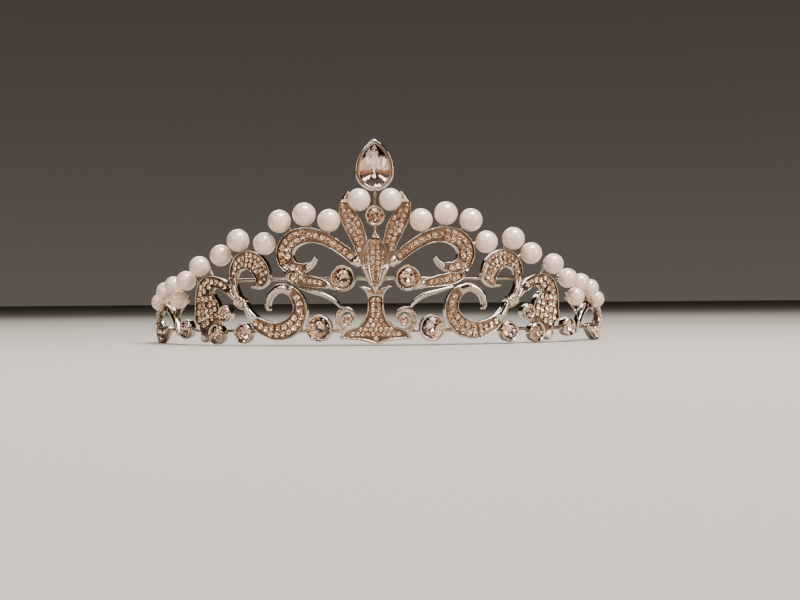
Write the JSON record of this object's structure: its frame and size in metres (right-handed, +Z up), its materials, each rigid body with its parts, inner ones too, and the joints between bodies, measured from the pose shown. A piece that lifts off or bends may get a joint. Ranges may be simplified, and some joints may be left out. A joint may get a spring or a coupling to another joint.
{
  "type": "bridal tiara",
  "caption": "Half-round bridal tiara of cast scrollwork set with small crystals, round and pear-shaped stones in bezels, and a crest of pearls.",
  "frame": {"origin": "axis of the head ring, at the height of the tiara's lowest tip", "axes": "+Z up, the front of the tiara faces -Y, +X to the right of someone who looks at its front"},
  "size_m": [0.151, 0.0735, 0.0619],
  "materials": {
    "cast_metal": "rhodium-plated casting, polished rims",
    "bezel_metal": "rhodium-plated, polished",
    "wire_metal": "rhodium-plated wire, tumbled",
    "crystal": "cut and foiled, clear",
    "pave_crystal": "cut and foiled, clear with a warm tint",
    "pearl": "pearl lacquer, cream"
  },
  "bodies": {
    "root": {"base_wire": "wire_metal", "big_scroll_left": "cast_metal", "big_scroll_pave_left": "pave_crystal", "big_scroll_pave_right": "pave_crystal", "big_scroll_pearls_left": "pearl", "big_scroll_pearls_right": "pearl", "big_scroll_right": "cast_metal", "c_scroll_left": "cast_metal", "c_scroll_pave_left": "pave_crystal", "c_scroll_pave_right": "pave_crystal", "c_scroll_right": "cast_metal", "cane_pave_left": "pave_crystal", "cane_pave_right": "pave_crystal", "cane_pearls_left": "pearl", "cane_pearls_right": "pearl", "cane_scroll_left": "cast_metal", "cane_scroll_right": "cast_metal", "centre_foot": "cast_metal", "centre_plume": "cast_metal", "centre_stem": "wire_metal", "collar_left": "cast_metal", "collar_right": "cast_metal", "comma_pave_left": "pave_crystal", "comma_pave_right": "pave_crystal", "comma_pearls_left": "pearl", "comma_pearls_right": "pearl", "comma_scroll_left": "cast_metal", "comma_scroll_right": "cast_metal", "crown_bezel": "bezel_metal", "crown_crystal": "crystal", "crown_pearl_pegs": "wire_metal", "crown_pearls": "pearl", "curl_bezels": "bezel_metal", "curl_crystals": "crystal", "end_pave_left": "pave_crystal", "end_pave_right": "pave_crystal", "end_pearls_left": "pearl", "end_pearls_right": "pearl", "end_scroll_left": "cast_metal", "end_scroll_right": "cast_metal", "foot_pave": "pave_crystal", "large_bezels_left": "bezel_metal", "large_bezels_right": "bezel_metal", "large_crystals_left": "crystal", "large_crystals_right": "crystal", "leaf_rib_left": "cast_metal", "leaf_rib_right": "cast_metal", "pear_bezel": "bezel_metal", "pear_crystal": "crystal", "pearl_pegs_left": "wire_metal", "pearl_pegs_right": "wire_metal", "pin_loop_left": "wire_metal", "pin_loop_right": "wire_metal", "plume_pave": "pave_crystal", "small_bezels_left": "bezel_metal", "small_bezels_right": "bezel_metal", "small_crystals_left": "crystal", "small_crystals_right": "crystal", "upper_wire_left": "wire_metal", "upper_wire_right": "wire_metal"}
  },
  "joints": []
}
